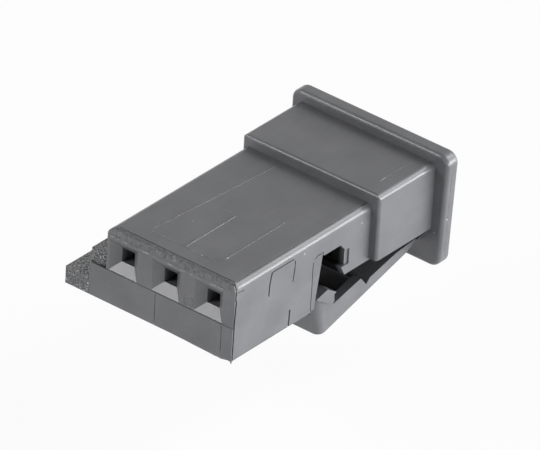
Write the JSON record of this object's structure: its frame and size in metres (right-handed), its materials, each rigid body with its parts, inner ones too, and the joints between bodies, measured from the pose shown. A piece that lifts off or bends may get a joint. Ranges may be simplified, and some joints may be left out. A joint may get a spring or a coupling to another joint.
{
  "type": "crimp connector housing",
  "caption": "Keyed crimp connector housing for a row of square posts, with lead-in funnels, a stepped rear shroud, an end flange and a film-hinged flap that locks the contacts.",
  "frame": {"origin": "middle of the contact row, on the mating face", "axes": "+X along the contact row, away from the polarising ribs; +Y from the mating face to the wire end; +Z away from the flap"},
  "size_m": [0.0112, 0.0149, 0.0072],
  "materials": {
    "plastic": "satin moulded plastic"
  },
  "bodies": {
    "housing": {"housing": "plastic"},
    "flap": {"retainer_flap": "plastic"}
  },
  "joints": [
    {"name": "flap_hinge", "type": "hinge", "parent": "housing", "child": "flap", "pos_m": [0, 0.01406, -0.00237], "axis": [1, 0, 0], "range_deg": [-13.5, 30], "stiffness_Nm_per_rad": 0.002}
  ]
}
